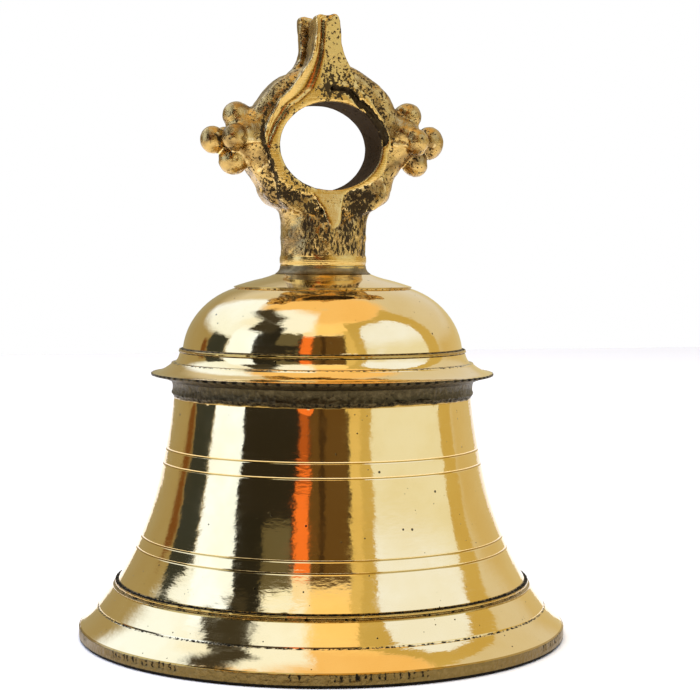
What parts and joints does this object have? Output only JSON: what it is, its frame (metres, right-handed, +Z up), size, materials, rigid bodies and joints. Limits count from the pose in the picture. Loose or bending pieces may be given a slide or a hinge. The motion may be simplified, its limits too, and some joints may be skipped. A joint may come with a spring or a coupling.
{
  "type": "sanctus bell",
  "caption": "Heavy hanging hand-struck brass bell with a turned body, a cast ring crown and a ball clapper on a swivelling hanger.",
  "frame": {"origin": "centre of the lip plane, on the bell's axis", "axes": "+Z up along the bell's axis, +Y along the hole of the crown ring, +X towards one bud cluster"},
  "size_m": [0.168, 0.168, 0.2125],
  "materials": {
    "bell_brass": "turned and polished, dark in the grooves",
    "crown_brass": "rough cast, dark patina, rim filed bright",
    "braze": "dull braze",
    "fixing_brass": "turned, dull",
    "forged_iron": "forged, dark",
    "pin_steel": "turned, dull",
    "clapper_brass": "turned, worn at the strike"
  },
  "bodies": {
    "bell": {"bell_body": "bell_brass", "crown_loop": "crown_brass", "foot_fillet": "braze", "crown_washer": "fixing_brass", "crown_nut": "fixing_brass"},
    "hanger": {"hanger_fork": "forged_iron", "pivot_pin": "pin_steel", "pin_washer": "pin_steel", "split_pin": "pin_steel"},
    "clapper": {"clapper_shank": "forged_iron", "clapper_ball": "clapper_brass", "tail_nut": "pin_steel"}
  },
  "joints": [
    {"name": "hanger_swivel", "type": "hinge", "parent": "bell", "child": "hanger", "pos_m": [0, 0, 0.1086], "axis": [0, 0, 1], "continuous": true},
    {"name": "clapper_swing", "type": "hinge", "parent": "hanger", "child": "clapper", "pos_m": [0, 0, 0.0973], "axis": [0, 1, 0], "range_deg": [-33.2, 33.2]}
  ]
}
